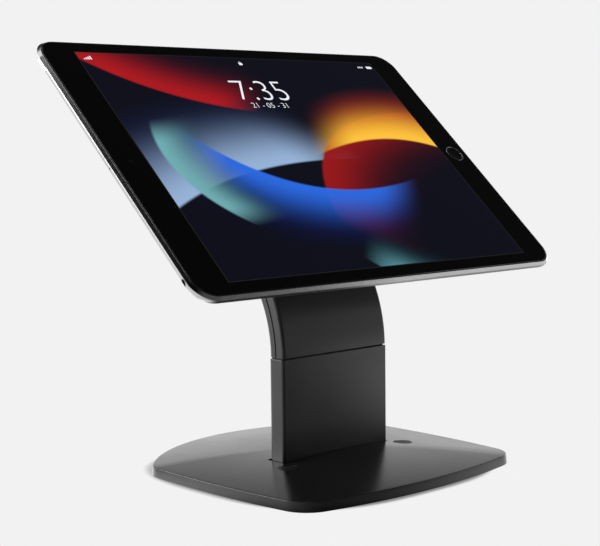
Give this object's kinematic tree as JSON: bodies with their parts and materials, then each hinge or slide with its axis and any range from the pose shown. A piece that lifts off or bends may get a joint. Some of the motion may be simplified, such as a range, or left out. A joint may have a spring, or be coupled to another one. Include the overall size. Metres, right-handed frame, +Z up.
{
  "type": "point of sale tablet stand",
  "caption": "Black counter stand with a weighted base, flat bent arm, friction tilt and quarter-turn swivel head, holding a slim tablet with a home button.",
  "frame": {"origin": "middle of the base's footprint, on the counter", "axes": "+X to the user's right along the tablet's long side, -Y towards the user, +Z up"},
  "size_m": [0.2509, 0.1568, 0.2192],
  "materials": {
    "cover_black": "fine matte powder coat",
    "column_black": "fine matte powder coat",
    "bracket_black": "fine matte powder coat",
    "cap_black": "moulded, fine grain",
    "ballast_iron": "as cast, oiled",
    "pad_rubber": "matt",
    "screw_steel": "zinc plated, dark",
    "hinge_steel": "turned and plated",
    "friction_ring": "wear ring, natural",
    "hub_aluminium": "turned",
    "tape_foam": "foam tape",
    "tablet_aluminium": "bead blasted, anodised",
    "tablet_glass": "polished, black border",
    "home_cap": "polished",
    "display_stack": "backlit panel",
    "tablet_inner": "moulded and potted",
    "board_green": "solder mask",
    "camera_black": "lens and case"
  },
  "bodies": {
    "stand": {"base_cover": "cover_black", "ballast_casting": "ballast_iron", "anti_slip_pad": "pad_rubber", "cover_screws": "screw_steel", "column_bolts": "screw_steel", "left_hole_cap": "cap_black", "right_hole_cap": "cap_black", "column": "column_black", "tongue_screws": "screw_steel", "arm_spine": "hinge_steel", "arm_front_shell": "column_black", "arm_rear_shell": "column_black", "shell_screws": "screw_steel", "hinge_barrel": "hinge_steel"},
    "tilt_head": {"tilt_bracket": "bracket_black", "friction_washers": "friction_ring", "hinge_pin": "hinge_steel", "cone_washers": "hinge_steel", "hinge_nut": "hinge_steel", "left_hinge_cap": "cap_black", "right_hinge_cap": "cap_black", "swivel_hub": "hub_aluminium", "swivel_disc": "friction_ring", "swivel_keeper": "hub_aluminium", "keeper_screws": "screw_steel", "stop_pin": "hinge_steel"},
    "tablet": {"swivel_plate": "bracket_black", "mounting_tapes": "tape_foam", "tablet_housing": "tablet_aluminium", "cover_glass": "tablet_glass", "display_panel": "display_stack", "battery_pack": "tablet_inner", "logic_board": "board_green", "home_button_ring": "tablet_aluminium", "home_button_module": "tablet_inner", "switch_blocks": "tablet_inner", "headphone_jack": "tablet_inner", "microphone": "tablet_inner", "charge_port": "tablet_inner", "speaker_modules": "tablet_inner", "front_camera": "camera_black", "rear_camera": "camera_black"},
    "home_button": {"home_button": "home_cap"},
    "power_button": {"power_button": "tablet_aluminium"},
    "volume_up_button": {"volume_up_button": "tablet_aluminium"},
    "volume_down_button": {"volume_down_button": "tablet_aluminium"}
  },
  "joints": [
    {"name": "tilt", "type": "hinge", "parent": "stand", "child": "tilt_head", "pos_m": [0, 0.02767, 0.13135], "axis": [1, 0, 0], "range_deg": [-20, 20]},
    {"name": "swivel", "type": "hinge", "parent": "tilt_head", "child": "tablet", "pos_m": [0, 0.00468, 0.16118], "axis": [0, -0.6794, 0.7337], "range_deg": [-90, 0]},
    {"name": "home_button_press", "type": "slide", "parent": "tablet", "child": "home_button", "axis": [0, 0.6794, -0.7337], "range_m": [0, 0.0003], "stiffness_N_per_m": 4000, "springref_m": -0.00015},
    {"name": "power_button_press", "type": "slide", "parent": "tablet", "child": "power_button", "axis": [1, 0, 0], "range_m": [0, 0.00025], "stiffness_N_per_m": 4000, "springref_m": -0.0001},
    {"name": "volume_up_button_press", "type": "slide", "parent": "tablet", "child": "volume_up_button", "axis": [0, -0.7337, -0.6794], "range_m": [0, 0.00025], "stiffness_N_per_m": 4000, "springref_m": -0.0001},
    {"name": "volume_down_button_press", "type": "slide", "parent": "tablet", "child": "volume_down_button", "axis": [0, -0.7337, -0.6794], "range_m": [0, 0.00025], "stiffness_N_per_m": 4000, "springref_m": -0.0001}
  ]
}
